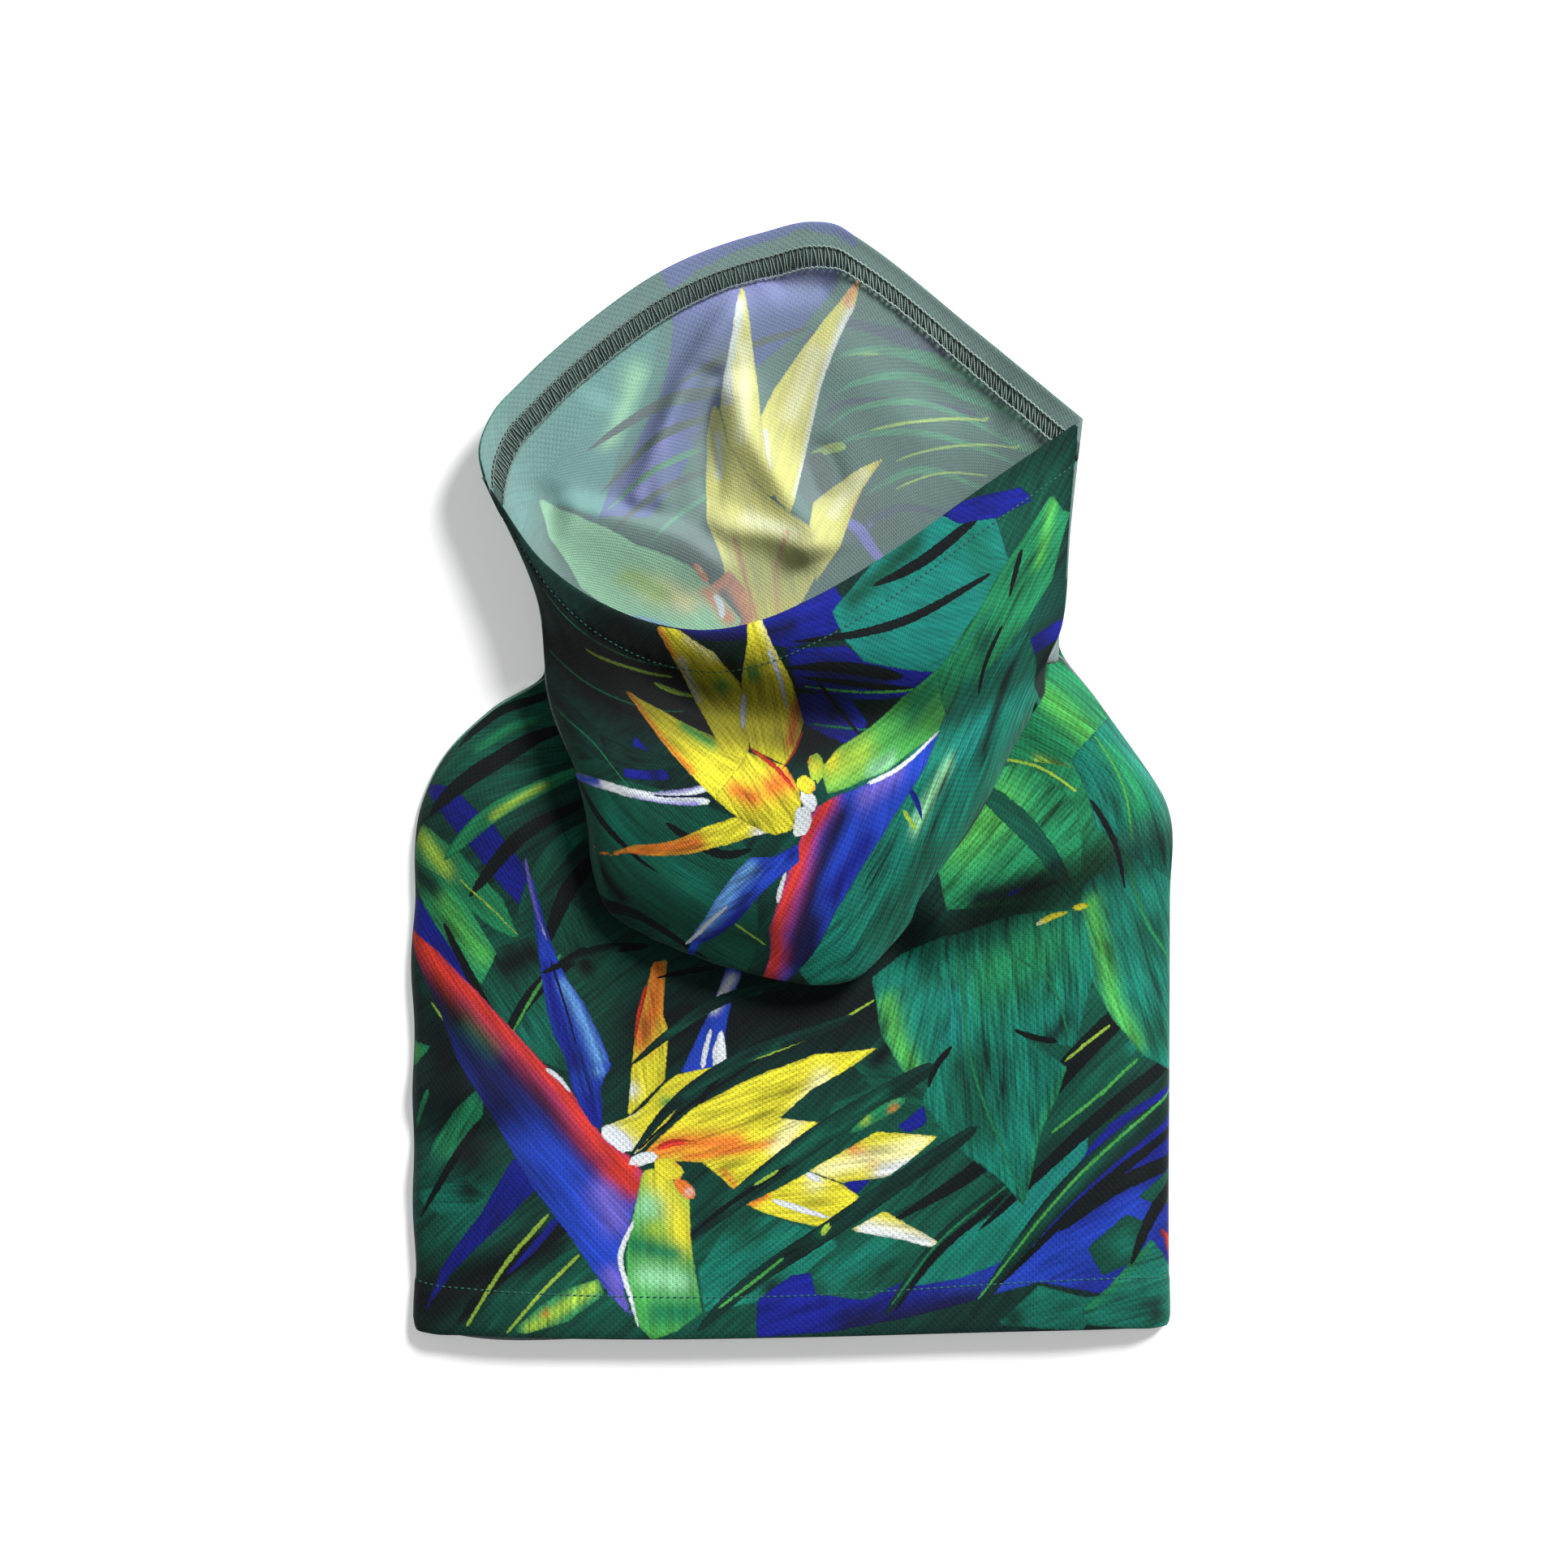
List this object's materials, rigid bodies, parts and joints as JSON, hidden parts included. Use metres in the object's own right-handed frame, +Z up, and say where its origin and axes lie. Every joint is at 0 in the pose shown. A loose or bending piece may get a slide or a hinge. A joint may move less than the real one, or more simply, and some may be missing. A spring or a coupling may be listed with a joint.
{
  "type": "neck gaiter",
  "caption": "Printed knit neck gaiter, an open tube with side seams and stitched hems, lying flat with its collar folded forward as a cowl.",
  "frame": {"origin": "middle of the gaiter's box, on the surface that it lies on", "axes": "+X across the tube, +Y from the bottom hem to the mouth, +Z up, out of the front panel"},
  "size_m": [0.2458, 0.3615, 0.0336],
  "materials": {
    "printed_knit": "printed polyester knit, paler inside",
    "overlock_thread": "soft polyester thread",
    "stitching_thread": "polyester sewing thread"
  },
  "bodies": {
    "root": {"front_panel": "printed_knit", "back_panel": "printed_knit", "left_seam_looper_thread": "overlock_thread", "left_seam_needle_thread": "overlock_thread", "right_seam_looper_thread": "overlock_thread", "right_seam_needle_thread": "overlock_thread", "top_hem_looper_thread": "overlock_thread", "top_hem_needle_thread": "overlock_thread", "top_hem_stitching": "stitching_thread", "bottom_hem_looper_thread": "overlock_thread", "bottom_hem_needle_thread": "overlock_thread", "bottom_hem_stitching": "stitching_thread"}
  },
  "joints": []
}
